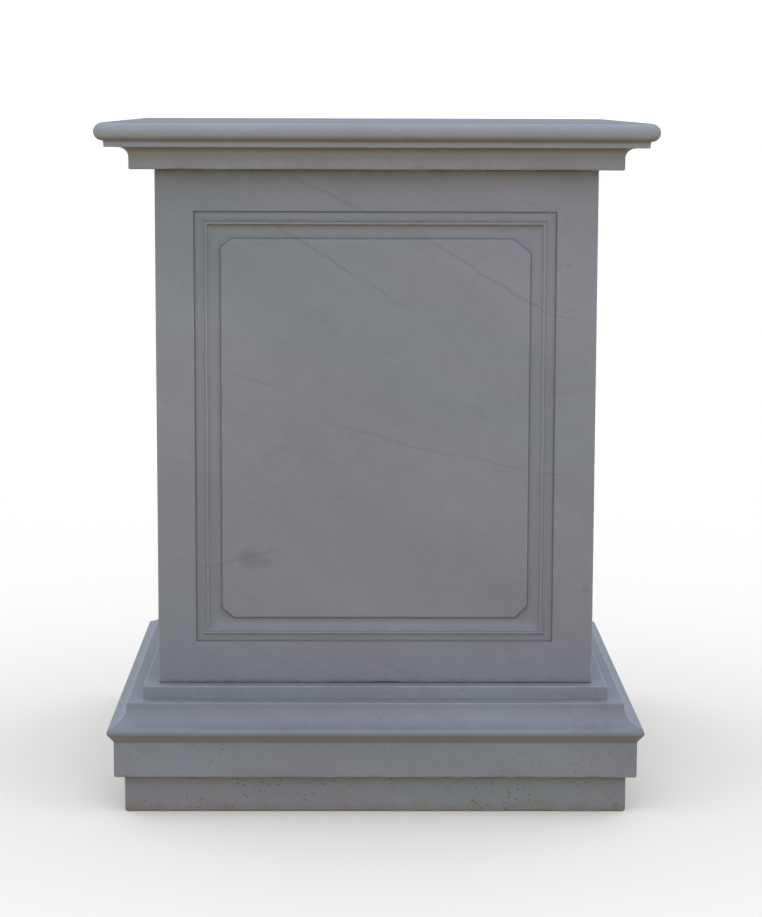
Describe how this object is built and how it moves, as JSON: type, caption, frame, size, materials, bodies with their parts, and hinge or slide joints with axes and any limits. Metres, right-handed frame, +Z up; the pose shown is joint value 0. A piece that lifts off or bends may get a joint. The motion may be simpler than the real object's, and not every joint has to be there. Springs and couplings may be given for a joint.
{
  "type": "marble pedestal",
  "caption": "Square marble pedestal: a die with sunk panels and raised fields, between a moulded base and a moulded cap, on a plain plinth slab.",
  "frame": {"origin": "centre of the underside, on the ground", "axes": "+Z up, +X to the right of the moulded front, +Y away from the viewer, so the moulded front looks towards -Y"},
  "size_m": [0.835, 0.835, 1.05],
  "materials": {
    "marble": "matt",
    "dull_marble": "matt"
  },
  "bodies": {
    "root": {"cap": "marble", "panelled_die": "marble", "moulded_base": "marble", "plinth_slab": "dull_marble"}
  },
  "joints": []
}
